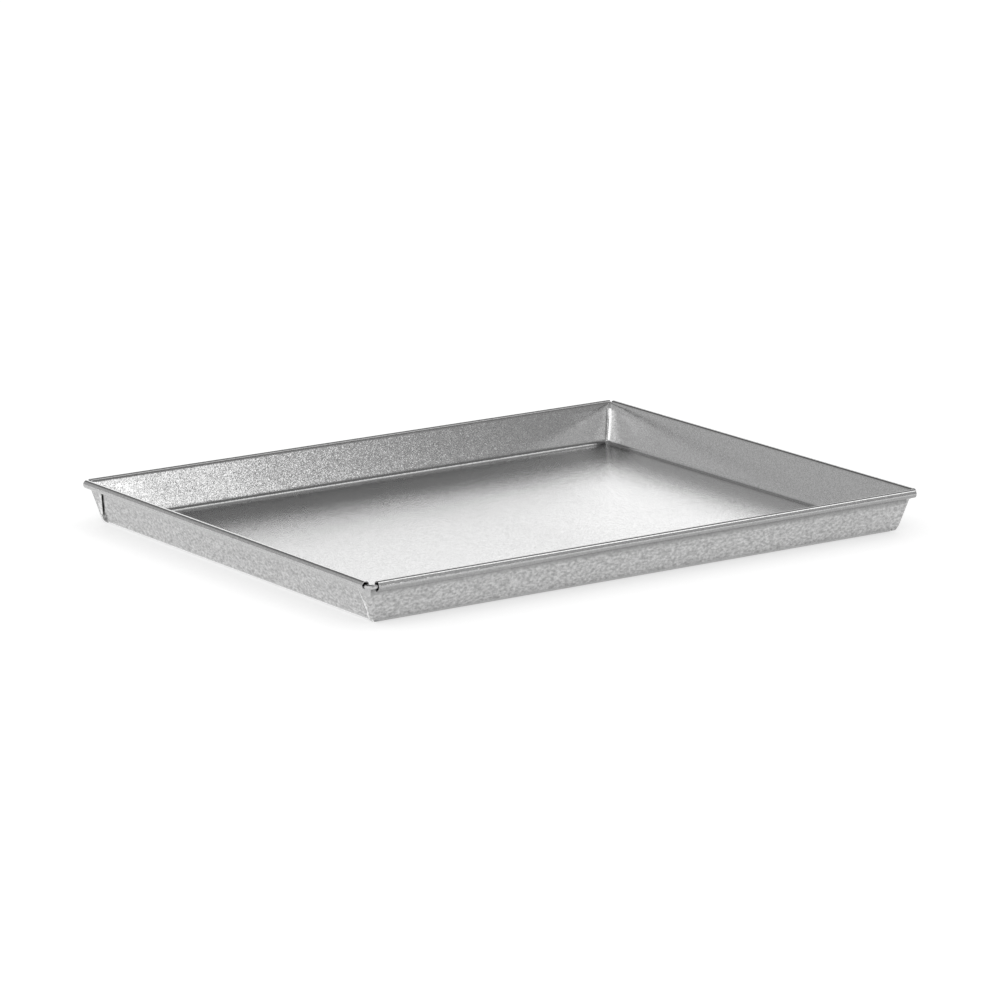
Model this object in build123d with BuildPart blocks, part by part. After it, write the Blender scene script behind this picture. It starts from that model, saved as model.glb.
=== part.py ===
from build123d import *
import math
import os

# A baking tray folded from one steel sheet, with its rim curled round a wire hoop.
# All sizes are in millimetres and all angles in degrees. The origin is under the middle
# of the floor, +X runs along the long sides, +Y along the short sides and +Z points up.

# Size of the whole tray, over the curled rim.
tray_length = 405.0
tray_width = 318.0
tray_height = 27.0

# The steel sheet, how far its four sides lean out, and how tightly it is bent.
sheet_thickness = 0.6
wall_lean = 14.5
bend_radius = 3.0

# The rim wire, a hoop bent from one length of round wire, with its ends butted.
wire_diameter = 2.8
wire_bend_radius = 3.6
wire_butt_gap = 0.4

# The curl that holds the wire loosely. It stops short of the wire's bend at each corner.
curl_play = 0.6
wire_seat_gap = 0.1
curl_lip_gap = 0.2
curl_end_gap = 0.4

# The folded corners. The spare sheet of each corner lies as a double flap on the short side.
# The flap comes out of the wall at its toe and reaches its full thickness a little higher.
fold_gap = 0.15
fold_toe_rise = 1.3
fold_full_rise = 4.0
fold_corner_radius = 1.8
crease_offset = 1.6
crease_radius = 0.4

# Every cut, and every body that is joined to another, reaches this far past its target.
overrun = 2.0

# The lean of the walls as the ratios that the rest is worked out with.
lean_sine = math.sin(math.radians(wall_lean))
lean_cosine = math.cos(math.radians(wall_lean))
lean_tangent = math.tan(math.radians(wall_lean))

# The curl in section: its radii, its axis, where it leaves the wall and how far it wraps.
wire_radius = wire_diameter / 2
curl_inner_radius = wire_radius + curl_play
curl_outer_radius = curl_inner_radius + sheet_thickness
curl_axis_height = tray_height - curl_outer_radius
curl_axis_x = tray_length / 2 - curl_outer_radius
curl_axis_y = tray_width / 2 - curl_outer_radius
curl_start_height = curl_axis_height + curl_inner_radius * lean_sine
curl_wrap = 180 + math.degrees(math.acos((curl_lip_gap - curl_inner_radius) / curl_outer_radius))
curl_setback = wire_bend_radius + curl_end_gap

# The wire lies in the bottom of the curl. At the corners, where there is no curl,
# the sheet ends level with the bottom of the curl's bore, just under the wire.
wire_height = curl_axis_height - curl_inner_radius + wire_seat_gap + wire_radius
corner_top = curl_axis_height - curl_inner_radius

# The walls' outer faces at the height of the tray's underside, and their inner faces
# at the height of its floor, as if the bends at their foot were sharp.
outer_half_length = curl_axis_x - curl_inner_radius * lean_cosine - curl_start_height * lean_tangent
outer_half_width = curl_axis_y - curl_inner_radius * lean_cosine - curl_start_height * lean_tangent
level_thickness = sheet_thickness / lean_cosine
floor_widening = sheet_thickness * lean_tangent
inner_half_length = outer_half_length - level_thickness + floor_widening
inner_half_width = outer_half_width - level_thickness + floor_widening
outer_bend_radius = bend_radius + sheet_thickness

# Heights of the folded corner, from the top of the bend at the foot of the walls.
bend_top = outer_bend_radius * (1 - lean_sine)
fold_toe_height = bend_top + fold_toe_rise
fold_full_height = fold_toe_height + fold_full_rise

# Seen square on, a wall's edge slants by corner_slant. What is left of the right angle
# between the edges of two walls is folded double, and the flap reaches back by flap_slope.
corner_slant = math.atan(lean_sine)
flap_angle = (math.radians(90) - 2 * corner_slant) / 2
flap_slope = math.tan(flap_angle - corner_slant)
flap_thickness = 2 * (sheet_thickness + fold_gap)

# Planes on the outer faces of the short wall at +X and of the long wall at +Y.
# Their own X runs along the wall and their own Y up its slope. The normal of the short
# wall's plane points out of the tray, and the normal of the long wall's points into it.
short_wall = Plane(
    origin=(outer_half_length, 0, 0), x_dir=(0, 1, 0), z_dir=(lean_cosine, 0, -lean_sine)
)
long_wall = Plane(
    origin=(0, outer_half_width, 0), x_dir=(1, 0, 0), z_dir=(0, -lean_cosine, lean_sine)
)


def slope_length(height):
    """The distance up the slope of a wall that gains a given height."""
    return height / lean_cosine


def wall_strip(foot, head, reach_in, reach_out):
    """A strip of wall from foot to head, between two lines beside the slanting edge.

    The edge is where the outer faces of two walls meet. It starts at local X zero,
    and each reach is measured along the wall from it, out of the tray being positive.
    """
    return [
        (foot * lean_sine + reach_in, foot),
        (head * lean_sine + reach_in, head),
        (head * lean_sine + reach_out, head),
        (foot * lean_sine + reach_out, foot),
    ]


def shifted(points, distance):
    """The same points, moved along local X."""
    return [(along + distance, up) for along, up in points]


def tapered_block(half_length, half_width, radius, floor_height):
    """A block whose sides lean out, with its lower edges and its corners rounded alike."""
    with BuildPart() as block:
        with BuildSketch(Plane.XY.offset(floor_height)):
            Rectangle(2 * half_length, 2 * half_width)
        extrude(amount=corner_top + overrun, taper=-wall_lean)
        top_edges = block.edges().group_by(Axis.Z)[-1]
        fillet([edge for edge in block.edges() if edge not in top_edges], radius)
    return block.part


def at_each_corner(body):
    """The body, which stands at the corner of +X and +Y, at all four corners."""
    pair = [body, mirror(body, Plane.XZ)]
    return pair + [mirror(one, Plane.YZ) for one in pair]


# The solid shape of the tray's outside, and of the room inside it.
outside = tapered_block(outer_half_length, outer_half_width, outer_bend_radius, 0)
inside = tapered_block(inner_half_length, inner_half_width, bend_radius, sheet_thickness)

# What the flaps may fill: flush with the walls at the toe, and full thickness higher up.
with BuildPart() as flap_envelope:
    for height, growth, radius in (
        (fold_toe_height, 0, outer_bend_radius),
        (fold_full_height, flap_thickness, fold_corner_radius),
        (corner_top + overrun, flap_thickness, fold_corner_radius),
    ):
        with BuildSketch(Plane.XY.offset(height)):
            RectangleRounded(
                2 * (outer_half_length + height * lean_tangent + growth / lean_cosine),
                2 * (outer_half_width + height * lean_tangent),
                radius,
            )
    loft(ruled=True)

# One corner flap, drawn on the outer face of the short wall. A thick strip beside the
# wall's edge, which fills the bend behind the flap, carries it.
flap_foot = slope_length(fold_toe_height)
flap_head = slope_length(corner_top + overrun)
with BuildPart() as corner_flap:
    with BuildSketch(short_wall.offset(fold_gap)):
        with BuildLine():
            free_foot = (outer_half_width - flap_foot * flap_slope, flap_foot)
            free_head = (outer_half_width - flap_head * flap_slope, flap_head)
            edge_strip = shifted(wall_strip(flap_foot, flap_head, 0, overrun), outer_half_width)
            Polyline(free_foot, free_head, edge_strip[2], edge_strip[3], close=True)
        make_face()
    extrude(amount=flap_thickness + overrun)
    with BuildSketch(short_wall.offset(-outer_bend_radius)):
        with BuildLine():
            carrier = wall_strip(flap_foot, flap_head, -outer_bend_radius, overrun)
            Polyline(shifted(carrier, outer_half_width), close=True)
        make_face()
    extrude(amount=outer_bend_radius + flap_thickness + overrun)
    add(flap_envelope.part, mode=Mode.INTERSECT)
    # The free edge is a fold, so it is round.
    free_edge = corner_flap.faces().sort_by(Axis.Y)[0]
    fillet(free_edge.edges().sort_by(SortBy.LENGTH)[-2:], sheet_thickness)
    # Room for the curl, which comes down over the flap.
    with BuildSketch(Plane.XZ):
        with Locations((curl_axis_x, curl_axis_height)):
            Circle(curl_outer_radius + curl_lip_gap)
    extrude(amount=curl_axis_y - curl_setback, both=True, mode=Mode.SUBTRACT)

# The slit between the two layers of the flap, which goes on round the corner, inside the
# long wall, to the crease. Between the flap and the wall under it there is a gap already.
slit_foot = slope_length(fold_full_height)
with BuildPart() as fold_slit:
    with BuildSketch(short_wall.offset(fold_gap + sheet_thickness)):
        with BuildLine():
            slit_inset = 2 * sheet_thickness
            slit_low = (outer_half_width - slit_foot * flap_slope + slit_inset, slit_foot)
            slit_high = (outer_half_width - flap_head * flap_slope + slit_inset, flap_head)
            bend_strip = wall_strip(slit_foot, flap_head, 0, -level_thickness)
            bend_strip = shifted(bend_strip, outer_half_width)
            Polyline(slit_low, slit_high, bend_strip[2], bend_strip[3], close=True)
        make_face()
    extrude(amount=fold_gap)
    with BuildSketch(long_wall.offset(sheet_thickness)):
        with BuildLine():
            crease_reach = -sheet_thickness * lean_cosine - crease_offset
            layer_reach = sheet_thickness + 2 * fold_gap
            corner_slit = wall_strip(slit_foot, flap_head, crease_reach, layer_reach)
            Polyline(shifted(corner_slit, outer_half_length), close=True)
        make_face()
    extrude(amount=fold_gap)

# The crease itself: a fine groove up the inside of the corner, beside the long wall.
with BuildPart() as crease:
    crease_foot = shifted(corner_slit, outer_half_length)[0]
    crease_start = long_wall.offset(sheet_thickness).from_local_coords(crease_foot)
    with BuildSketch(Plane(origin=crease_start, z_dir=(lean_tangent, lean_tangent, 1))):
        Circle(crease_radius)
    extrude(amount=flap_head)

flaps = at_each_corner(corner_flap.part)
slits = at_each_corner(fold_slit.part)
creases = at_each_corner(crease.part)

# The folded pan: floor, walls, corner flaps and the curl of each side, all one sheet.
with BuildPart() as folded_pan:
    add(outside)
    add(flaps)
    add(inside, mode=Mode.SUBTRACT)
    add(slits, mode=Mode.SUBTRACT)
    add(creases, mode=Mode.SUBTRACT)
    split(bisect_by=Plane.XY.offset(corner_top), keep=Keep.BOTTOM)
    # Each curl is drawn across its side, with a root that lies in the wall.
    for cross_plane, axis_distance, half_run in (
        (Plane.XZ, curl_axis_x, curl_axis_y - curl_setback),
        (Plane.YZ, curl_axis_y, curl_axis_x - curl_setback),
    ):
        with BuildSketch(cross_plane):
            with BuildLine():
                axis_point = (axis_distance, curl_axis_height)
                leaving_angle = 180 - wall_lean
                outer_arc = CenterArc(axis_point, curl_outer_radius, leaving_angle, -curl_wrap)
                inner_arc = CenterArc(axis_point, curl_inner_radius, leaving_angle, -curl_wrap)
                Line(outer_arc @ 1, inner_arc @ 1)
                root_length = slope_length(curl_start_height - corner_top + overrun)
                down_the_wall = Vector(-lean_sine, -lean_cosine) * root_length
                outer_foot = inner_arc @ 0 + down_the_wall
                inner_foot = outer_arc @ 0 + down_the_wall
                Polyline(inner_arc @ 0, outer_foot, inner_foot, outer_arc @ 0)
            make_face()
            mirror(about=Plane.YZ)
        extrude(amount=half_run, both=True)
folded_pan.part.label = "folded_pan"

# The rim wire: a hoop with round corners, its ends butted inside the curl of one long side.
with BuildPart() as rim_wire:
    with BuildLine(Plane.XY.offset(wire_height)) as wire_path:
        FilletPolyline(
            (wire_butt_gap / 2, curl_axis_y),
            (curl_axis_x, curl_axis_y),
            (curl_axis_x, -curl_axis_y),
            (-curl_axis_x, -curl_axis_y),
            (-curl_axis_x, curl_axis_y),
            (-wire_butt_gap / 2, curl_axis_y),
            radius=wire_bend_radius,
        )
    with BuildSketch(wire_path.line ^ 0):
        Circle(wire_radius)
    sweep()
rim_wire.part.label = "rim_wire"

os.makedirs("parts", exist_ok=True)
for piece in (folded_pan.part, rim_wire.part):
    print(piece.label, "solids", len(piece.solids()), "volume", round(piece.volume))
    export_step(piece, f"parts/{piece.label}.step")
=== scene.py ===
# %% [markdown]
# # A baking tray, folded from one sheet of steel
# This lesson builds the looks of a rectangular baking tray round its measured frame.
# The real tray is cut from one sheet. Its four walls are bent up, the spare metal of
# each corner is folded flat against a short wall, and the rim is curled round a wire.
# The frame holds the true sizes, so it is loaded first and every piece is made to fit it.

# %% Load the measured frame
import math

import bmesh
import bpy
from mathutils import Matrix, Vector, noise


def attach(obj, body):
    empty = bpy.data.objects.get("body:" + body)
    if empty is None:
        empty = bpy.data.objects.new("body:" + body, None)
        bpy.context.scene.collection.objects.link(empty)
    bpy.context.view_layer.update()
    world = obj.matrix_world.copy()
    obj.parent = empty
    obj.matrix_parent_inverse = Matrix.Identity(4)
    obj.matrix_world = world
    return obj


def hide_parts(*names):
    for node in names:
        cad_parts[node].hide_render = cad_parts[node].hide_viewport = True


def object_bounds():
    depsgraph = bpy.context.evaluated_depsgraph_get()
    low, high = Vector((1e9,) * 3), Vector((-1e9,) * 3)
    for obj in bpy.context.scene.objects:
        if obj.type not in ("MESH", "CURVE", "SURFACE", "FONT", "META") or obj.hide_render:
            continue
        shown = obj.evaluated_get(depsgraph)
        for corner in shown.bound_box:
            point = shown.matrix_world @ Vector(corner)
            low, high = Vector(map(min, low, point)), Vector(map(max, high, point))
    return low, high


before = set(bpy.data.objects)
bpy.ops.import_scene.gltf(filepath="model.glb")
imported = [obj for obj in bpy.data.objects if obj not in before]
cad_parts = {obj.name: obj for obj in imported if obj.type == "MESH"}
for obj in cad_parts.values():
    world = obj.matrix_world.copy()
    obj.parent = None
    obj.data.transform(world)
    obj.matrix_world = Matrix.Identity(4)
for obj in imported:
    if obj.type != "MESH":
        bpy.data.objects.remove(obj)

frame_low, frame_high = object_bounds()
print("frame box in mm:", [round(size * 1000, 2) for size in frame_high - frame_low])

# %% [markdown]
# ## The sizes of the sheet
# A sheet metal worker would mark out the tray from a few numbers: the thickness of the
# sheet, how far the walls lean, how tight the bends are and how thick the wire is.
# All lengths are in metres. Everything else follows from these and from the frame.

# %% Driving sizes
mm = 0.001
half_length, half_width, rim_height = frame_high
sheet = 0.6 * mm
lean = math.radians(14.5)
wire_radius = 1.4 * mm
wire_bend_radius = 3.6 * mm
wire_butt_gap = 0.4 * mm
curl_bore = 2.0 * mm
curl_lip_gap = 0.2 * mm
wire_seat_gap = 0.1 * mm

# %% Sizes that follow from them
curl_radius = curl_bore + sheet
axis_x = half_length - curl_radius
axis_y = half_width - curl_radius
axis_z = rim_height - curl_radius
curl_start = axis_z + curl_bore * math.sin(lean)
curl_wrap = math.pi + math.acos((curl_lip_gap - curl_bore) / curl_radius)
corner_top = axis_z - curl_bore
foot_x = axis_x - curl_bore * math.cos(lean) - curl_start * math.tan(lean)
foot_y = axis_y - curl_bore * math.cos(lean) - curl_start * math.tan(lean)
wire_z = corner_top + wire_seat_gap + wire_radius
print("outer foot of the walls in mm:", round(foot_x / mm, 2), round(foot_y / mm, 2))
print("the curl wraps", round(math.degrees(curl_wrap)), "degrees round the wire")


# %% [markdown]
# ## Five small helpers
# By hand, each step is: select something, then use a tool on it. In a script the
# selecting needs a rule, such as "all edges below this height", so the first helper
# selects by rule. Two more cut a mesh with a plane, where one keeps both sides and one
# throws a side away. The last two join two solids and start a piece from a primitive.

# %% Select by rule, cut by a plane, join two solids, start a piece
snap_distance = 0.0001 * mm


def pick(piece, kind, rule):
    """In edit mode, selects the parts of one kind whose middle obeys the rule."""
    bpy.ops.mesh.select_mode(type=kind)
    bpy.ops.mesh.select_all(action="DESELECT")
    mesh = bmesh.from_edit_mesh(piece.data)
    parts = {"VERT": mesh.verts, "EDGE": mesh.edges, "FACE": mesh.faces}[kind]
    chosen = 0
    for part in parts:
        corners = [part.co] if kind == "VERT" else [vert.co for vert in part.verts]
        if rule(sum(corners, Vector()) / len(corners)):
            part.select_set(True)
            chosen += 1
    mesh.select_flush_mode()
    bmesh.update_edit_mesh(piece.data)
    return chosen


def cut_off(point, normal):
    """In edit mode, removes what lies on the normal's side of a plane and closes the cut."""
    bpy.ops.mesh.select_all(action="SELECT")
    bpy.ops.mesh.bisect(
        plane_co=point,
        plane_no=Vector(normal).normalized(),
        use_fill=True,
        clear_outer=True,
        threshold=snap_distance,
    )


def slice_at(point, normal, piece=None, near=None):
    """In edit mode, adds edges where a plane crosses the mesh, or only the faces near."""
    bpy.ops.mesh.select_all(action="SELECT")
    if near:
        pick(piece, "FACE", near)
    bpy.ops.mesh.bisect(
        plane_co=point, plane_no=Vector(normal).normalized(), threshold=snap_distance
    )


def combine(target, tool, operation):
    """Adds the tool's solid to the target, or takes it away, and deletes the tool."""
    bpy.context.view_layer.objects.active = target
    modifier = target.modifiers.new(operation.lower(), "BOOLEAN")
    modifier.operation = operation
    modifier.solver = "EXACT"
    modifier.object = tool
    bpy.ops.object.modifier_apply(modifier=modifier.name)
    bpy.data.objects.remove(tool)


def start_from(add_primitive, name, scale=(1, 1, 1), **placing):
    """Adds a primitive at its size and place, and gives the mesh that size and place."""
    bpy.ops.object.select_all(action="DESELECT")
    add_primitive(**placing)
    piece = bpy.context.object
    piece.name = name
    piece.data.name = name
    piece.scale = scale
    bpy.ops.object.transform_apply(location=True, rotation=True, scale=True)
    return piece


# %% [markdown]
# ## The bent sheet: floor, walls and bends
# The tray could be made as a thin surface with a Solidify modifier. At the corners,
# though, the metal lies in three layers, so its outside and its inside differ in shape.
# It is easier to make two solid blocks, one for the outside and one for the room
# inside, and to take one from the other, as a mould and its core.
# Each block starts as a plane at the mouth, is extruded down to the floor, drawn in
# there by the lean of the walls, and gets its bends by bevelling the lower edges.

# %% A block with leaning sides and rounded bends
bend_segments = 8


def leaning_block(name, foot_half_x, foot_half_y, floor_z, mouth_z, bend_reach):
    """A closed block whose sides lean out from the floor to the mouth."""
    growth = (mouth_z - floor_z) * math.tan(lean)
    mouth = (2 * (foot_half_x + growth), 2 * (foot_half_y + growth), 1)
    block = start_from(
        bpy.ops.mesh.primitive_plane_add, name, mouth, size=1, location=(0, 0, mouth_z)
    )
    bpy.ops.object.mode_set(mode="EDIT")
    bpy.ops.mesh.select_all(action="SELECT")
    bpy.ops.mesh.extrude_region_move(
        TRANSFORM_OT_translate={"value": (0, 0, floor_z - mouth_z)}
    )
    draw_in = (foot_half_x / (foot_half_x + growth), foot_half_y / (foot_half_y + growth), 1)
    bpy.ops.transform.resize(value=draw_in, center_override=(0, 0, floor_z))
    pick(block, "EDGE", lambda middle: middle.z < mouth_z - bend_reach)
    bpy.ops.mesh.bevel(offset=bend_reach, segments=bend_segments, affect="EDGES")
    pick(block, "EDGE", lambda middle: middle.z > mouth_z - 0.01 * mm)
    bpy.ops.mesh.edge_face_add()
    bpy.ops.mesh.select_all(action="SELECT")
    bpy.ops.mesh.normals_make_consistent(inside=False)
    bpy.ops.object.mode_set(mode="OBJECT")
    return block


# %% The outside and the room inside
outer_bend_reach = 3.05 * mm
inner_bend_reach = 2.54 * mm
overrun = 2 * mm
inset = sheet / math.cos(lean) - sheet * math.tan(lean)
mouth_z = corner_top + overrun
pan = leaning_block("folded_sheet", foot_x, foot_y, 0, mouth_z, outer_bend_reach)
room = leaning_block(
    "room", foot_x - inset, foot_y - inset, sheet, mouth_z + overrun, inner_bend_reach
)
print("outside block:", len(pan.data.vertices), "points; room:", len(room.data.vertices))

# %% [markdown]
# ## The folded corners
# The spare metal of a corner is a kite, folded double, that lies as a triangle on the
# outside of the short wall. Its free edge is a fold, so it is round. Its other side
# goes round the corner into the long wall.
# It could be cut from a plane, but a cube is better here, because the triangle has a
# thickness: the cube is set flat on the wall and planes slice it down to the flap.
# A second, narrower block carries the flap and fills the bend of the corner behind it.
# The two layers of the flap are one slab here, because the slit between them is hidden.

# %% Sizes of a folded corner
fold_gap = 0.15 * mm
flap_thickness = 2 * (sheet + fold_gap)
toe_height = 0.9 * mm
full_height = 3.2 * mm
flap_corner_reach = 1.7 * mm
flap_edge_reach = 0.55 * mm
carrier_width = 3.6 * mm
flap_overlap = 2.2 * mm
corner_trim = 0.5 * mm
corner_slope = (1, 1, -1.1)
slant = math.atan(math.sin(lean))
flap_slope = math.tan(math.radians(45) - 2 * slant)
print("the flap reaches back", round(flap_slope, 3), "per unit of slope")

# %% Directions at the corner of +X and +Y
wall_foot = Vector((foot_x, foot_y, 0))
out_of_wall = Vector((math.cos(lean), 0, -math.sin(lean)))
out_of_long_wall = Vector((0, math.cos(lean), -math.sin(lean)))
up_the_wall = Vector((math.sin(lean), 0, math.cos(lean)))
corner_edge = out_of_wall.cross(out_of_long_wall).normalized()
away_from_corner = corner_edge.cross(out_of_wall).normalized()
away_from_corner *= -math.copysign(1, away_from_corner.y)
free_edge_side = Vector((0, -1, 0)) - up_the_wall * flap_slope
print("the corner edge points", [round(part, 3) for part in corner_edge])


# %% A slab on the short wall, sliced by planes
def corner_slab(name, depth_in, depth_out, sides):
    """A slab flat on the short wall, from the toe to past the top, cut by more planes."""
    slab_size = 80 * mm
    above_mouth = ((0, 0, mouth_z + overrun / 2), (0, 0, 1))
    below_toe = ((0, 0, toe_height), (0, 0, -1))
    slab = start_from(
        bpy.ops.mesh.primitive_cube_add,
        name,
        (depth_in + depth_out, slab_size, slab_size),
        size=1,
        location=wall_foot + out_of_wall * (depth_out - depth_in) / 2,
        rotation=(0, lean, 0),
    )
    bpy.ops.object.mode_set(mode="EDIT")
    for point, normal in sides + [above_mouth, below_toe]:
        cut_off(point, normal)
    return slab


def round_edge(slab, first, second, reach, segments):
    """Bevels the edges that lie in both of two planes, each a point and a normal."""
    def on_both(middle):
        return all(
            abs((middle - point).dot(normal.normalized())) < snap_distance
            for point, normal in (first, second)
        )

    chosen = pick(slab, "EDGE", on_both)
    bpy.ops.mesh.bevel(offset=reach, segments=segments, affect="EDGES")
    print(slab.name, "edges rounded:", chosen)


# %% The flap, with a round free edge
flap_outer_face = (wall_foot + out_of_wall * flap_thickness, out_of_wall)
flap_inner_face = (wall_foot + out_of_wall * fold_gap, out_of_wall)
flap_free_side = (wall_foot, free_edge_side)
flap_back = (wall_foot + Vector((0, -flap_overlap, 0)), -away_from_corner)
flap = corner_slab("flap", -fold_gap, flap_thickness, [flap_free_side, flap_back])
round_edge(flap, flap_outer_face, flap_free_side, flap_edge_reach, 4)
round_edge(flap, flap_inner_face, flap_free_side, flap_edge_reach, 4)

# %% The toe of the flap comes out of the wall gently
hair = 0.01 * mm
toe_rise = (full_height - toe_height) / math.cos(lean)
toe = wall_foot + up_the_wall * toe_height / math.cos(lean) - out_of_wall * 10 * hair
toe_face = out_of_wall * toe_rise - up_the_wall * flap_thickness
cut_off(toe, toe_face)
bpy.ops.object.mode_set(mode="OBJECT")

# %% The block that carries it round the corner
carrier_back = (wall_foot + Vector((0, -carrier_width, 0)), away_from_corner)
long_side = (wall_foot - out_of_long_wall * 2 * hair, out_of_long_wall)
carrier_face = (wall_foot + out_of_wall * (flap_thickness - hair), out_of_wall)
carrier = corner_slab("carrier", carrier_width, flap_thickness - hair, [carrier_back, long_side])
round_edge(carrier, carrier_face, long_side, flap_corner_reach, 6)
cut_off(toe - out_of_wall * hair, toe_face)
toe_spread = toe_height * math.tan(lean) - corner_trim
corner_toe = wall_foot + Vector((toe_spread, toe_spread, toe_height))
cut_off(corner_toe, corner_slope)
bpy.ops.object.mode_set(mode="OBJECT")


# %% [markdown]
# ## Four corners, welded to the sheet
# A flap is modelled once and copied. A copy is mirrored by a negative scale, which
# turns its faces inside out, so each copy gets its normals recalculated.
# The Boolean modifier then makes one closed skin: the outside block and the flaps are
# joined, and the room inside is taken away, which leaves the sheet and its bends.
# Faces that lie exactly in one plane confuse this tool, so parts that should be flush
# stand back from each other by a hair, a hundredth of a millimetre.

# %% Mirrored copies of a piece
def mirrored_copy(piece, turn_x, turn_y):
    """A copy with its own mesh, mirrored along X or Y where the factor is negative."""
    bpy.ops.object.select_all(action="DESELECT")
    copy = piece.copy()
    copy.data = piece.data.copy()
    bpy.context.collection.objects.link(copy)
    copy.select_set(True)
    bpy.context.view_layer.objects.active = copy
    copy.scale = (turn_x, turn_y, 1)
    bpy.ops.object.transform_apply(location=True, rotation=True, scale=True)
    bpy.ops.object.mode_set(mode="EDIT")
    bpy.ops.mesh.select_all(action="SELECT")
    bpy.ops.mesh.normals_make_consistent(inside=False)
    bpy.ops.object.mode_set(mode="OBJECT")
    return copy


# %% Where each curl ends, and the clearance it needs over the flaps
# The photograph shows other setbacks at each corner. Where two curls meet, one of them
# stands back at least 2.8 mm, so that they stay clear of each other round the wire.
corners = [(1, 1), (1, -1), (-1, 1), (-1, -1)]
short_setback = {(1, 1): 2.9 * mm, (1, -1): 2.9 * mm, (-1, 1): 1.6 * mm, (-1, -1): 4.0 * mm}
long_setback = {(1, 1): 1.6 * mm, (1, -1): 1.6 * mm, (-1, 1): 3.3 * mm, (-1, -1): 5.2 * mm}


def clearance(turn_x, turn_y):
    """A cylinder that keeps a flap clear of the curl, up to the curl's end."""
    run = 30 * mm
    end = axis_y - short_setback[turn_x, turn_y]
    return start_from(
        bpy.ops.mesh.primitive_cylinder_add,
        "clearance",
        vertices=64,
        radius=curl_radius + curl_lip_gap,
        depth=run,
        location=(turn_x * axis_x, turn_y * (end - run / 2), axis_z),
        rotation=(math.pi / 2, 0, 0),
    )


# %% Weld the flaps on, empty the tray and trim the top
combine(flap, carrier, "UNION")
for turn_x, turn_y in corners:
    folded_corner = mirrored_copy(flap, turn_x, turn_y)
    combine(folded_corner, clearance(turn_x, turn_y), "DIFFERENCE")
    combine(pan, folded_corner, "UNION")
bpy.data.objects.remove(flap)
combine(pan, room, "DIFFERENCE")
trim_height = 20 * mm
above = start_from(
    bpy.ops.mesh.primitive_cube_add,
    "above",
    (1, 1, trim_height),
    size=1,
    location=(0, 0, corner_top + trim_height / 2),
)
combine(pan, above, "DIFFERENCE")
print("folded sheet:", len(pan.data.vertices), "points")

# %% [markdown]
# ## The rim, curled round the wire
# On the real tray a roller curls the edge of each side outwards, round the wire. Here
# each side's curl starts as a flat strip that stands in the wall. Its upper edge is spun
# round the wire's axis, and a Solidify modifier gives it the thickness of the sheet.
# The strip could be extruded from the wall itself, but the wall also bends round the
# corners, where the curl is cut short, so it is simpler to make each curl by itself.

# %% One curl, from a spun strip
curl_steps = 30
root_inset = 3 * hair
root_band = 0.25 * mm


def curled_rim(name, axis_distance, run_low, run_high):
    """The curl of the side at +X, between two ends along Y, rooted in the wall."""
    radius = curl_bore + root_inset
    start_z = axis_z + radius * math.sin(lean)
    root_length = (start_z - corner_top + overrun) / math.cos(lean)
    middle = Vector((axis_distance - radius * math.cos(lean), (run_low + run_high) / 2, start_z))
    rim = start_from(
        bpy.ops.mesh.primitive_plane_add,
        name,
        (root_length, run_high - run_low, 1),
        size=1,
        location=middle - up_the_wall * root_length / 2,
        rotation=(0, lean - math.pi / 2, 0),
    )
    bpy.ops.object.mode_set(mode="EDIT")
    slice_at((0, 0, start_z - root_band), (0, 0, 1))
    pick(rim, "EDGE", lambda middle: middle.z > start_z - snap_distance)
    bpy.ops.mesh.spin(
        steps=curl_steps,
        angle=curl_wrap,
        center=(axis_distance, 0, axis_z),
        axis=(0, -1, 0),
    )
    bpy.ops.mesh.select_all(action="SELECT")
    bpy.ops.mesh.normals_make_consistent(inside=False)
    bpy.ops.object.mode_set(mode="OBJECT")
    wall_face = max(rim.data.polygons, key=lambda face: face.area)
    looks_out = wall_face.normal.dot(out_of_wall) > 0
    thicken = rim.modifiers.new("sheet", "SOLIDIFY")
    thicken.thickness = sheet - 2 * root_inset
    thicken.offset = -1 if looks_out else 1
    bpy.ops.object.modifier_apply(modifier=thicken.name)
    return rim


# %% The four sides
side_turns = {"short +X": 0, "long +Y": 90, "short -X": 180, "long -Y": 270}
for name, degrees in side_turns.items():
    turn = Matrix.Rotation(math.radians(degrees), 3, "Z")
    is_short = degrees % 180 == 0
    reach, setbacks = (axis_y, short_setback) if is_short else (axis_x, long_setback)
    run_ends = []
    for end in (-1, 1):
        corner = turn @ Vector((1, end, 0))
        run_ends.append(end * (reach - setbacks[round(corner.x), round(corner.y)]))
    rim = curled_rim("rim", axis_x if is_short else axis_y, *run_ends)
    rim.rotation_euler.z = math.radians(degrees)
    bpy.ops.object.transform_apply(location=True, rotation=True, scale=True)
    combine(pan, rim, "UNION")
    print(name, "curl is", round((run_ends[1] - run_ends[0]) / mm, 1), "mm long")

# %% [markdown]
# ## The creases in the corners
# Inside, next to each corner, a sharp dark line runs up the long wall. It is where the
# folded metal turns back on itself. It could be a dark line in the material, but that
# would be as dark from every side. A thin cylinder, taken away, leaves a real groove.

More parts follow.
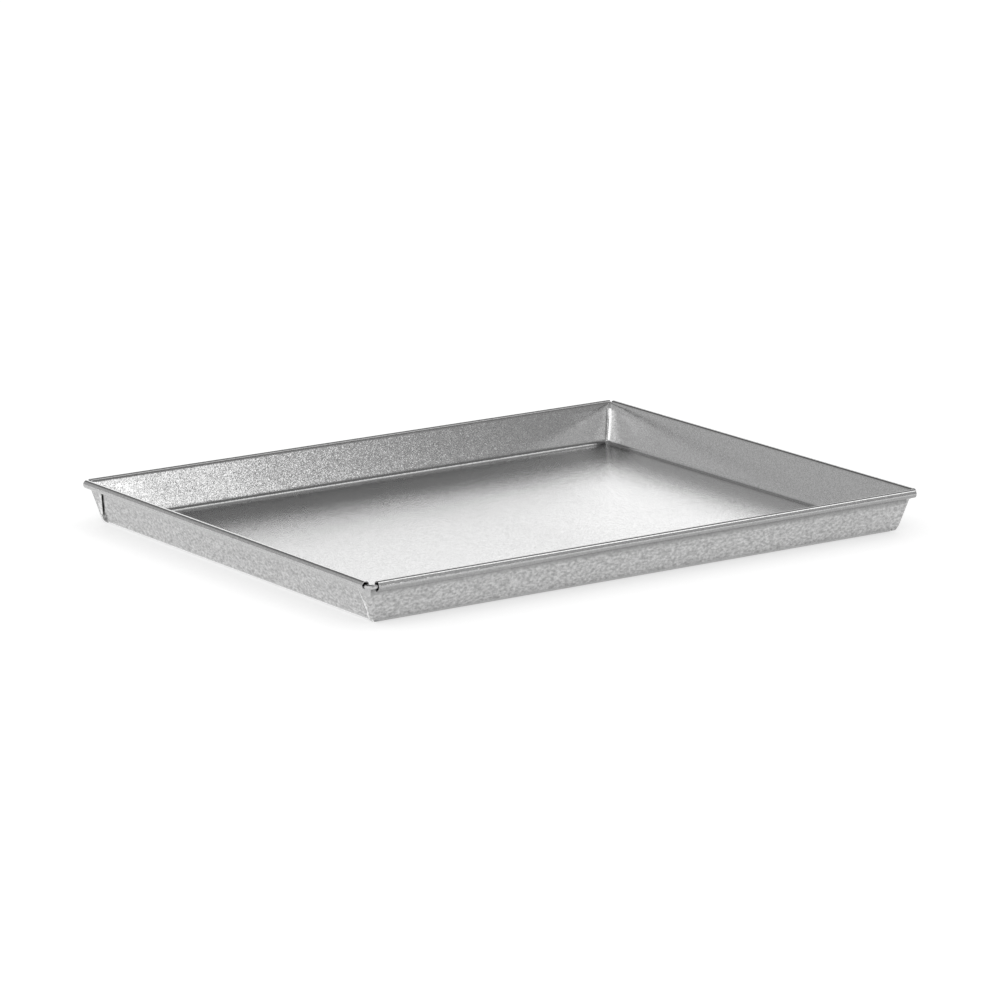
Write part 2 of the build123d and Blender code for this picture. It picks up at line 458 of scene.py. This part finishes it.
# %% Four grooves
crease_radius = 0.36 * mm
crease_offset = 1.6 * mm
crease_depth_in = 0.3 * mm
crease_rise = 1.6 * mm
crease_length = 30 * mm
inner_corner = Vector((foot_x - inset, foot_y - inset, sheet))
crease_foot = inner_corner + Vector((-crease_offset, -crease_depth_in, 0))
crease_way = Vector((math.tan(lean), math.tan(lean), 1)).normalized()
crease_start = crease_foot + crease_way * crease_rise
groove = start_from(
    bpy.ops.mesh.primitive_cylinder_add,
    "groove",
    vertices=20,
    radius=crease_radius,
    depth=crease_length,
    location=crease_start + crease_way * crease_length / 2,
    rotation=crease_way.to_track_quat("Z", "Y").to_euler(),
)
for turn_x, turn_y in corners:
    combine(pan, mirrored_copy(groove, turn_x, turn_y), "DIFFERENCE")
bpy.data.objects.remove(groove)
print("pan:", len(pan.data.vertices), "points")

# %% [markdown]
# ## A finer net of edges
# Flat sheet needs no more points to keep its shape, but a smooth shaded face shows its
# neighbours' slopes right across it. So an extra edge runs close to each bend, and a
# coarse net crosses the rest, which also gives the sheet somewhere to be a little uneven.
# It could be subdivided evenly, but then most points would lie where nothing happens.
# Planes that cross it put them where they are wanted: at the bends, corners and flaps.

# %% The net
net_size = 9 * mm
bend_end = 2.9 * mm
bend_band = 2 * mm
flap_zone = 16 * mm
wall_rows = (3.0, 4.2, 8.0, 12.5, 17.0, 21.5)
corner_rows = (4.2, 5.5, 7.5, 10.0, 13.0, 17.0, 22.0)
flap_rows = (0.15, 0.5, 0.9, 1.5, 2.0, 2.6, 3.2)
flat_x = foot_x - sheet / math.cos(lean) - bend_end
flat_y = foot_y - sheet / math.cos(lean) - bend_end
bpy.context.view_layer.objects.active = pan
bpy.ops.object.mode_set(mode="EDIT")
for side in (-1, 1):
    for along in (flat_x, flat_x - bend_band):
        slice_at((side * along, 0, 0), (1, 0, 0))
    for along in (flat_y, flat_y - bend_band):
        slice_at((0, side * along, 0), (0, 1, 0))
for row in wall_rows:
    slice_at((0, 0, row * mm), (0, 0, 1))
for step in range(-19, 20):
    slice_at((step * net_size, 0, 0), (1, 0, 0))
for side in (-1, 1):
    for from_corner in corner_rows:
        slice_at((side * (foot_x - from_corner * mm), 0, 0), (side, 0, -math.tan(lean)))
for step in range(-16, 17):
    slice_at((0, step * net_size, 0), (0, 1, 0))
for turn_x, turn_y in corners:
    def beside_flap(middle):
        """True for the short wall's faces close to one corner."""
        on_short_wall = turn_x * middle.x > foot_x - mm
        return on_short_wall and turn_y * middle.y > foot_y - flap_zone

    for row in flap_rows:
        spot = wall_foot + free_edge_side.normalized() * (row * mm)
        normal = (turn_x * free_edge_side.x, turn_y * free_edge_side.y, free_edge_side.z)
        slice_at((turn_x * spot.x, turn_y * spot.y, spot.z), normal, pan, beside_flap)
bpy.ops.object.mode_set(mode="OBJECT")
print("pan after slicing:", len(pan.data.vertices), "points")

# %% [markdown]
# ## Where the sheet is rubbed, and where it is dull
# One photograph can't tell a burnished spot from one that mirrors a lamp, and the drawn
# room is simpler than the real one. So light and shade are painted into the sheet's colour:
# bands of painted reflection round the curl, painted highlights in the inner corners, beside
# each crease, at the foot of the short walls and on each flap's free edge, and painted shade
# at the foot of the walls, on the floor along the long walls and beside each flap. An image
# painted by hand could hold this. A number stored on each point does the same here, and the
# material reads it. The bright end of the floor, the brighter top of the long walls at their
# ends and the wide dark line at the near flap make up for light that the drawn room lacks.
# All of them are fitted to the photographer's side.

# %% A painted light and shade value for each point
# Each table pairs a place with a painted brightness. The place is an angle round the curl in
# degrees, a height, a distance from the wall or a distance from the short wall at +X, in mm.
# Painted reflections: bright and dark bands round each curl, for each side.
curl_reflection_bands = {
    "front": [
        (-60, 0.6), (-15, 0.7), (5, 1.0), (25, 1.3), (38, 1.6), (52, 1.6), (60, 1.0), (72, 0.4)
    ],
    "back": [(90, 0.7), (110, 0.6), (140, 0.6), (150, 0.9), (165, 1.0)],
    "right": [(90, 0.6), (115, 0.6), (130, 0.9), (165, 1.0)],
    "left": [(0, 1.0), (50, 0.9), (90, 1.0)],
}
# Painted highlight and shade lines at the foot bend of the long walls, inside.
foot_bend_lines = [(0.6, 0.5), (1.1, 0.45), (1.5, 1.3), (1.9, 0.6), (2.9, 0.6), (3.1, 1.0)]
# Painted highlight on each flap's rounded free edge, with painted shade next to the wall.
flap_edge_light = [(0.2, 0.45), (0.7, 0.5), (0.9, 1.6), (1.5, 1.5)]
# Painted reflection on the floor, brighter towards the short wall at +X.
floor_reflection_table = [(0, 1.2), (14, 1.3), (35, 1.6), (60, 1.45), (110, 1.2), (180, 1.0)]
curl_zone = 4.2 * mm            # how far from the wire's axis the curl is looked for
seam_width = 3.6 * mm           # the strip of painted highlight in each inner corner
seam_highlight = 0.6
bend_zone = 2.6 * mm            # how far the bends reach from the foot
short_foot_highlight = 1.6
foot_shade = 0.7              # painted shade along the long walls' foot, less so near the end at +X
end_relief = 0.85
crease_highlight = 0.55              # painted highlight in a triangle beside each crease
rim_highlight = 0.35                 # painted highlight above it, up to the rim
rim_highlight_run = 52 * mm
near_shade, far_shade = 2.7 * mm, 0.2 * mm    # the painted shadow line beside a flap
shade_fade = 0.5 * mm
shade_level = 0.4
slack = 0.2 * mm


def soft_step(value, low, high):
    """Rises smoothly from 0 to 1 between two values."""
    share = min(max((value - low) / (high - low), 0), 1)
    return share * share * (3 - 2 * share)


def between(first, last, share):
    """A value that lies a share of the way from the first to the last."""
    return first + (last - first) * share


def along_table(table, value):
    """Reads a value from a table of pairs, in a straight line between them."""
    if value <= table[0][0]:
        return table[0][1]
    for (low, first), (high, second) in zip(table, table[1:]):
        if value <= high:
            return between(first, second, (value - low) / (high - low))
    return table[-1][1]


def side_of(point):
    """The side that a point belongs to, and how far it lies beyond the wire's axis."""
    out_x, out_y = abs(point.x) - axis_x, abs(point.y) - axis_y
    if out_y > out_x:
        return ("front" if point.y < 0 else "back"), out_y
    return ("right" if point.x > 0 else "left"), out_x


def floor_painted_light(point, from_foot):
    """On the floor: painted highlight beside the short wall at +X, painted shade along the long
    walls.
    """
    # Painted highlight on the foot bend of the short walls.
    if foot_x - sheet - abs(point.x) < bend_zone:
        return short_foot_highlight
    # Painted shade on the floor along the long walls, less near +X.
    relief = end_relief * soft_step(point.x, 110 * mm, 180 * mm)
    dulling = foot_shade * (1 - relief) * (1 - soft_step(from_foot, -4 * mm, 24 * mm))
    return (1 - dulling) * along_table(floor_reflection_table, (foot_x - point.x) / mm)


def inner_painted_light(point, wall_x, wall_y):
    """Inside the tray: painted highlights in the corners and in a triangle beside each crease."""
    from_corner = max(wall_x - abs(point.x), wall_y - abs(point.y))
    # Painted highlight in the inner corners.
    if from_corner < seam_width:
        return 1 + seam_highlight * (1 - soft_step(from_corner, seam_width / 2, seam_width))
    from_foot = foot_y - sheet - abs(point.y)
    # Painted highlight and shade lines at the foot bend of the long walls.
    if from_foot < bend_zone and point.z < 3.2 * mm:
        return along_table(foot_bend_lines, point.z / mm)
    if point.z < 1.6 * mm:
        return floor_painted_light(point, from_foot)
    if wall_y - abs(point.y) >= wall_x - abs(point.x):
        return 1
    # Painted highlight on the long walls: a triangle beside each crease and a band up to the rim.
    low_down = 1 - point.z / rim_height
    zone = between(3 * mm, 13 * mm, low_down)
    beside = wall_x - crease_offset - abs(point.x)
    triangle = 1 - soft_step(beside, 0.2 * zone, zone)
    slope_height = rim_height * (1 - beside / rim_highlight_run)
    above = soft_step(point.z - slope_height, -3 * mm, 3 * mm)
    above *= 1 - soft_step(beside, 8 * mm, 40 * mm)
    return 1 + crease_highlight * triangle + rim_highlight * above


def outer_painted_light(point, side):
    """Outside the tray: painted highlight and shade along each flap's free edge, painted shade
    towards the foot.
    """
    spot = Vector((abs(point.x), abs(point.y), point.z)) - wall_foot
    off_wall, off_edge = spot.dot(out_of_wall), spot.dot(free_edge_side.normalized())
    # Painted highlight and shade on each flap's rounded free edge.
    if off_wall > 0.1 * mm and abs(off_edge) < 0.7 * mm and point.z > 3 * mm:
        return along_table(flap_edge_light, off_wall / mm)
    # Painted shadow: a dark line on the wall beside each flap's free edge, wide at the near
    # corner.
    dark_to = near_shade if point.x < 0 and point.y < 0 else far_shade
    clear_from = dark_to + shade_fade
    on_wall = abs(off_wall) < 0.1 * mm and point.z > 1.5 * mm
    if on_wall and -0.1 * mm < off_edge < clear_from:
        return between(shade_level, 1, soft_step(off_edge, dark_to, clear_from))
    # Painted shade: darker towards the foot of the walls, most at the front.
    darkest, plain = (0.5, 0.93) if side == "front" else (0.85, 1.0)
    return between(darkest, plain, soft_step(point.z, 0.3 * mm, 6 * mm) ** 0.5)


def painted_light_at(point):
    """The painted light and shade of the sheet at a point: 1 is plain, more is brighter."""
    side, out = side_of(point)
    # Painted reflections on the curl, read by the angle round it.
    if math.hypot(out, point.z - axis_z) < curl_zone and point.z > corner_top - 2 * mm:
        angle = (math.degrees(math.atan2(point.z - axis_z, out)) + 90) % 360 - 90
        return along_table(curl_reflection_bands[side], angle)
    wall_x = foot_x - inset + point.z * math.tan(lean)
    wall_y = foot_y - inset + point.z * math.tan(lean)
    within = abs(point.x) < wall_x + slack and abs(point.y) < wall_y + slack
    if point.z > sheet / 2 and within:
        return inner_painted_light(point, wall_x, wall_y)
    return outer_painted_light(point, side)


def outside_at(point):
    """1 on the outer faces of the walls, 0 inside the tray and on the curl."""
    wall_x = foot_x + (point.z - sheet) * math.tan(lean)
    wall_y = foot_y + (point.z - sheet) * math.tan(lean)
    beyond = abs(point.x) > wall_x or abs(point.y) > wall_y or point.z < sheet / 2
    return 1.0 if beyond and point.z < corner_top - 1.5 * mm else 0.0


# Store the painted light and shade, and the mask of the outer faces, on each point.
for name, rule in (("painted_light", painted_light_at), ("outside", outside_at)):
    marks = pan.data.attributes.new(name, "FLOAT", "POINT")
    marks.data.foreach_set("value", [rule(vertex.co) for vertex in pan.data.vertices])
print("polish stored on", len(pan.data.vertices), "points")

# %% [markdown]
# ## Marks of the making
# No folded tray is quite flat. The corner folds pull the ends of the long walls inwards
# beside their creases, the floor and walls are a little wavy, and at the front the curl
# hangs loose at one end. With so many points the quickest way is to move them by a rule,
# as a sculpting brush would.

# %% Pull, ripple and loosen
pull_offset = 2.3 * mm
layer_depth = 1.6 * mm
layer_back = 0.9 * mm
wall_wave, wall_ripple = 55 * mm, 0.15 * mm
floor_wave, floor_ripple = 70 * mm, 0.3 * mm
looseness = 0.23


def corner_pull(point):
    """How far a long wall is pulled inwards near its ends."""
    edge_x = foot_x + point.z * math.tan(lean)
    beside = edge_x - pull_offset - abs(point.x)
    low_down = 1 - point.z / rim_height
    reach = between(3 * mm, 7.5 * mm, low_down)
    pull = between(0.45 * mm, 1.0 * mm, low_down) * math.exp(-max(beside, 0) / reach)
    return pull * soft_step(beside, -0.9 * mm, 0) * soft_step(point.z, 0.4 * mm, 4 * mm)


def ripple(point, wave):
    """A value from 0 to 1 that varies slowly over the sheet."""
    return 0.5 + 0.5 * noise.noise(point / wave)


for vertex in pan.data.vertices:
    point = vertex.co
    wall_x = foot_x + point.z * math.tan(lean)
    wall_y = foot_y + point.z * math.tan(lean)
    inwards = Vector((-math.copysign(1, point.x), -math.copysign(1, point.y), 0))
    on_long = soft_step(abs(point.y), wall_y - layer_depth, wall_y - layer_back)
    on_short = soft_step(abs(point.x), wall_x - layer_depth, wall_x - layer_back)
    from_end_x = soft_step(wall_x - abs(point.x), 4 * mm, 40 * mm)
    from_end_y = soft_step(wall_y - abs(point.y), 4 * mm, 40 * mm)
    above_bend = soft_step(point.z, 2 * mm, 12 * mm)
    waves = ripple(point, wall_wave) * wall_ripple * above_bend
    on_floor = from_end_x * from_end_y * (1 - soft_step(point.z, 0.8 * mm, 2 * mm))
    below_curl = 1 - soft_step(point.z, corner_top - 5 * mm, corner_top)
    point.y += inwards.y * on_long * (waves * from_end_x + corner_pull(point) * below_curl)
    point.x += inwards.x * on_short * waves * from_end_y
    point.z += ripple(point, floor_wave) * floor_ripple * on_floor
    if -point.y > wall_y:
        loose = looseness * soft_step(-point.x, 20 * mm, 150 * mm)
        beyond = soft_step(-point.y - wall_y, 0.2 * mm, 1.6 * mm)
        point.z -= (rim_height - point.z) * loose * beyond * soft_step(point.z, 19 * mm, 21 * mm)
loose_bottom = rim_height - 2 * curl_radius * (1 + looseness)
print("the front curl hangs down to", round(loose_bottom / mm, 1), "mm")

# %% [markdown]
# ## The rim wire
# The wire is one round rod, bent into a hoop, with its ends butted in the middle of the
# back. A curve with a round bevel would look the same. Here a circle is extruded along
# each side and spun at each corner, as the rod is bent, so that it ends as a plain mesh
# with both ends closed.

# %% The hoop
wire_sides = 28
corner_steps = 14


def wire_hoop():
    """The rod as a tube, laid side by side and corner by corner, with both ends closed."""
    start = (wire_butt_gap / 2, axis_y, wire_z)
    hoop = start_from(
        bpy.ops.mesh.primitive_circle_add,
        "rim_hoop",
        vertices=wire_sides,
        radius=wire_radius,
        fill_type="NOTHING",
        location=start,
        rotation=(0, math.pi / 2, 0),
    )
    bpy.ops.object.mode_set(mode="EDIT")
    bpy.ops.mesh.select_all(action="SELECT")
    straight_x = axis_x - wire_bend_radius
    straight_y = axis_y - wire_bend_radius
    runs = [
        ((straight_x - wire_butt_gap / 2, 0, 0), (straight_x, straight_y, wire_z)),
        ((0, -2 * straight_y, 0), (straight_x, -straight_y, wire_z)),
        ((-2 * straight_x, 0, 0), (-straight_x, -straight_y, wire_z)),
        ((0, 2 * straight_y, 0), (-straight_x, straight_y, wire_z)),
    ]
    for run, bend_center in runs:
        bpy.ops.mesh.extrude_region_move(TRANSFORM_OT_translate={"value": run})
        bpy.ops.mesh.spin(
            steps=corner_steps, angle=math.pi / 2, center=bend_center, axis=(0, 0, 1)
        )
    bpy.ops.mesh.extrude_region_move(
        TRANSFORM_OT_translate={"value": (straight_x - wire_butt_gap / 2, 0, 0)}
    )
    bpy.ops.mesh.edge_face_add()
    pick(
        hoop,
        "EDGE",
        lambda middle: abs(middle.x - wire_butt_gap / 2) < snap_distance and middle.y > 0,
    )
    bpy.ops.mesh.edge_face_add()
    bpy.ops.mesh.select_all(action="SELECT")
    bpy.ops.mesh.normals_make_consistent(inside=False)
    bpy.ops.object.mode_set(mode="OBJECT")
    return hoop


hoop = wire_hoop()
print("hoop:", len(hoop.data.vertices), "points")

# %% [markdown]
# ## Fitting the pieces into the frame
# The two meshes stand for the two solids of the frame. Each one rides on the tray's only
# body.

# %% Pieces of the frame
for piece, node, slot in ((pan, "folded_pan", "pan_sheet"), (hoop, "rim_wire", "rim_wire")):
    bpy.ops.object.select_all(action="DESELECT")
    piece.select_set(True)
    bpy.context.view_layer.objects.active = piece
    bpy.ops.object.shade_smooth_by_angle(angle=math.radians(30))
    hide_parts(node)
    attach(piece, "root")
    print(piece.name, "stands for", node)

# %% [markdown]
# ## Helpers for materials
# A material is a small graph of nodes. These helpers add a node with its settings and
# link it, so that each material below reads as a list of steps.

# %% Nodes by name
def new_tree(owner):
    """Empties the node tree of a material or world, and gives it back with its output."""
    owner.use_nodes = True
    tree = owner.node_tree
    tree.nodes.clear()
    is_world = isinstance(owner, bpy.types.World)
    output = tree.nodes.new("ShaderNodeOutputWorld" if is_world else "ShaderNodeOutputMaterial")
    return tree, output


def node(tree, kind, values=None, **settings):
    """Adds a node. Values are sockets: a number sets one, and another socket is linked."""
    made = tree.nodes.new("ShaderNode" + kind)
    for name, setting in settings.items():
        setattr(made, name, setting)
    for name, value in (values or {}).items():
        if isinstance(value, bpy.types.NodeSocket):
            tree.links.new(value, made.inputs[name])
        else:
            made.inputs[name].default_value = value
    return made


def ramp(tree, factor, stops):
    """A colour ramp from grey stops, each a place and a brightness."""
    made = node(tree, "ValToRGB", {"Fac": factor})
    elements = made.color_ramp.elements
    while len(elements) < len(stops):
        elements.new(1)
    for element, (place, grey) in zip(elements, stops):
        element.position = place
        element.color = (grey, grey, grey, 1)
    return made.outputs["Color"]


def noise_at(tree, scale, detail=2, roughness=0.5):
    """Noise fixed to the object, with a given number of bumps per metre."""
    place = node(tree, "TexCoord").outputs["Object"]
    values = {"Vector": place, "Scale": scale, "Detail": detail, "Roughness": roughness}
    return node(tree, "TexNoise", values).outputs["Fac"]


# %% [markdown]
# ## Coated sheet
# The sheet has the half bright coating of tinned or zinc coated steel. Inside the tray
# it shows as small grains, which are cells that each lean a little differently, so each
# mirrors another spot of the room. Outside it shows as larger blotches, from a noise.
# The floor is a little rougher than the walls. The stored painted light and shade scales the
# colour.
# A picture of real metal could be wrapped round instead, but nodes stay sharp close up.

# %% The sheet's finish
sheet_metal = bpy.data.materials.new("coated_sheet")
tree, output = new_tree(sheet_metal)
place = node(tree, "TexCoord").outputs["Object"]
flakes = node(tree, "VectorMath", {0: place, 1: (0.6, 0.6, 1.0)}, operation="MULTIPLY")
patches = {"Vector": flakes.outputs["Vector"], "Scale": 680, "Detail": 3, "Roughness": 0.65}
blotches = node(tree, "TexNoise", patches).outputs["Fac"]
grains = node(tree, "TexVoronoi", {"Vector": place, "Scale": 2200}).outputs["Color"]
fine = ramp(tree, grains, [(0.1, 0.46), (0.9, 0.7)])
coarse = ramp(tree, blotches, [(0.34, 0.4), (0.5, 0.57), (0.66, 0.74)])
height = node(tree, "SeparateXYZ", {"Vector": place}).outputs["Z"]
low_down = {"Value": height, "From Min": 0.8 * mm, "From Max": 2.5 * mm}
on_wall = node(tree, "MapRange", low_down).outputs["Result"]
wall_rough = ramp(tree, blotches, [(0.3, 0.09), (0.7, 0.13)])
floor_rough = ramp(tree, blotches, [(0.3, 0.19), (0.7, 0.27)])
roughness = node(tree, "MixRGB", {"Fac": on_wall, "Color1": floor_rough, "Color2": wall_rough})
outside = node(tree, "Attribute", attribute_name="outside").outputs["Fac"]
painted_light = node(tree, "Attribute", attribute_name="painted_light").outputs["Fac"]
colour = node(tree, "MixRGB", {"Fac": outside, "Color1": fine, "Color2": coarse}).outputs["Color"]
# Painted highlights and shade: the stored value scales the colour.
colour = node(tree, "VectorMath", {0: colour, "Scale": painted_light}, operation="SCALE")
colour = colour.outputs["Vector"]
tilt = node(tree, "VectorMath", {0: grains, 1: (0.5, 0.5, 0.5)}, operation="SUBTRACT")
slope = {"Value": on_wall, "To Min": 0.09, "To Max": 0.042}
slope = node(tree, "MapRange", slope).outputs["Result"]
tilt = node(tree, "VectorMath", {0: tilt.outputs["Vector"], "Scale": slope}, operation="SCALE")
straight = node(tree, "NewGeometry").outputs["Normal"]
tilted = node(tree, "VectorMath", {0: straight, 1: tilt.outputs["Vector"]}, operation="ADD")
normal = node(tree, "VectorMath", {0: tilted.outputs["Vector"]}, operation="NORMALIZE")
shader = node(
    tree,
    "BsdfPrincipled",
    {
        "Base Color": colour,
        "Metallic": 1.0,
        "Roughness": roughness.outputs["Color"],
        "Normal": normal.outputs["Vector"],
    },
)
tree.links.new(shader.outputs["BSDF"], output.inputs["Surface"])
pan.data.materials.clear()
pan.data.materials.append(sheet_metal)
print("coated sheet:", len(tree.nodes), "nodes")

# %% The wire's finish
drawn_wire = bpy.data.materials.new("drawn_wire")
tree, output = new_tree(drawn_wire)
dull = noise_at(tree, 900, 3)
shader = node(
    tree,
    "BsdfPrincipled",
    {
        "Base Color": ramp(tree, dull, [(0.3, 0.55), (0.7, 0.68)]),
        "Metallic": 1.0,
        "Roughness": ramp(tree, dull, [(0.3, 0.24), (0.7, 0.36)]),
    },
)
tree.links.new(shader.outputs["BSDF"], output.inputs["Surface"])
hoop.data.materials.clear()
hoop.data.materials.append(drawn_wire)
print("drawn wire:", len(tree.nodes), "nodes")

# %% [markdown]
# ## The studio
# The photograph has a white background, a soft contact shadow and no hard lights. Bright
# metal shows the room more than itself, so the room matters here. Lamps could stand round
# the tray as objects, but a smooth sheet would mirror their outlines. So the room is a
# dim sky with seven soft lamps in it, one for each bright part of the sheet, and the
# camera alone sees plain white behind the tray. The ground is matt and pale, with a glow
# that only the camera and mirrored rays see. It keeps the ground white in the picture.

# %% The ground
ground = start_from(bpy.ops.mesh.primitive_plane_add, "ground", size=60, location=(0, 0, 0))
white_ground = bpy.data.materials.new("white_ground")
tree, output = new_tree(white_ground)
matt = node(tree, "BsdfDiffuse", {"Color": (0.9, 0.9, 0.9, 1)}).outputs["BSDF"]
# Painted shadow: ambient occlusion dims the camera's glow near the tray, a contact shadow painted
# over the real one.
occlusion_shade = node(tree, "AmbientOcclusion", {"Distance": 40 * mm}, samples=8).outputs["AO"]
strength = node(tree, "MapRange", {"Value": occlusion_shade, "To Min": 1.1, "To Max": 1.79})
glow = node(tree, "Emission", {"Strength": strength.outputs["Result"]}).outputs["Emission"]
glint = node(tree, "Emission", {"Strength": 1.8}).outputs["Emission"]
ray = node(tree, "LightPath").outputs
seen = node(tree, "Math", {0: ray["Is Camera Ray"], 1: 0.48}, operation="MULTIPLY")
mirrored = node(tree, "Math", {0: ray["Is Glossy Ray"], 1: 0.35}, operation="MULTIPLY")
blend = node(tree, "MixShader", {"Fac": seen.outputs["Value"], 1: matt, 2: glow}).outputs["Shader"]
blend = node(tree, "MixShader", {"Fac": mirrored.outputs["Value"], 1: blend, 2: glint})
tree.links.new(blend.outputs["Shader"], output.inputs["Surface"])
ground.data.materials.append(white_ground)
print("ground:", round(ground.dimensions.x), "m across")

# %% The room
def lobe(tree, way, azimuth, elevation, inner, outer, brightness):
    """A soft round lamp in the sky: full within the inner angle, nothing past the outer."""
    azimuth, elevation = math.radians(azimuth), math.radians(elevation)
    flat = math.cos(elevation)
    aim = (flat * math.cos(azimuth), flat * math.sin(azimuth), math.sin(elevation))
    unit = node(tree, "VectorMath", {0: way}, operation="NORMALIZE").outputs["Vector"]
    close = node(tree, "VectorMath", {0: unit, 1: aim}, operation="DOT_PRODUCT")
    return node(
        tree,
        "MapRange",
        {
            "Value": close.outputs["Value"],
            "From Min": math.cos(math.radians(outer)),
            "From Max": math.cos(math.radians(inner)),
            "To Min": 0.0,
            "To Max": brightness,
        },
        interpolation_type="SMOOTHSTEP",
    ).outputs["Result"]


room_light = bpy.data.worlds.new("soft_room")
bpy.context.scene.world = room_light
tree, output = new_tree(room_light)
way = node(tree, "TexCoord").outputs["Generated"]
# Each lamp: its azimuth, elevation, inner and outer angle in degrees, and its brightness.
lamps = [
    ("behind, to the right", 53, 13, 15, 24, 1.2),
    ("overhead", -5, 60, 8, 20, 1.1),
    ("front, to the right", -74, 8, 14.3, 17, 1.6),
    ("above it", -52, 22, 12, 34, 0.2),
    ("left", 128, 20, 12, 42, 0.42),
    ("beside the camera", -140, 20, 14, 45, 0.9),
    ("behind the camera", 172, 12, 12, 36, 0.8),
]
total = 0.16
for name, *settings in lamps:
    lamp = lobe(tree, way, *settings)
    total = node(tree, "Math", {0: total, 1: lamp}, operation="ADD").outputs["Value"]
white = (1, 1, 1, 1)
dim = node(tree, "Background", {"Color": white, "Strength": total}).outputs["Background"]
plain = node(tree, "Background", {"Color": white, "Strength": 1.0}).outputs["Background"]
to_camera = node(tree, "LightPath").outputs["Is Camera Ray"]
blend = node(tree, "MixShader", {"Fac": to_camera, 1: dim, 2: plain})
tree.links.new(blend.outputs["Shader"], output.inputs["Surface"])
bpy.context.scene.view_settings.view_transform = "Standard"
print("lamps in the room:", len(lamps))

# %% [markdown]
# ## The camera
# The photographer stood beside the near corner with a long lens, so the far sides hardly
# shrink. The place, the direction and the lens are fitted to the corners and edges of the
# tray in the photograph. A camera could be aimed by eye, but the edges tell it exactly.

# %% The camera, where the photographer stood
camera_data = bpy.data.cameras.new("camera")
camera_data.lens = 188.46
camera_data.clip_end = 200
camera = bpy.data.objects.new("camera", camera_data)
bpy.context.collection.objects.link(camera)
camera.location = (-1.79103, -2.54251, 0.75713)
view_direction = Vector((0.56039, 0.79522, -0.23149))
camera.rotation_euler = view_direction.to_track_quat("-Z", "Y").to_euler()
bpy.context.scene.camera = camera
print("camera is", round(camera.location.length, 2), "m from the middle of the tray")
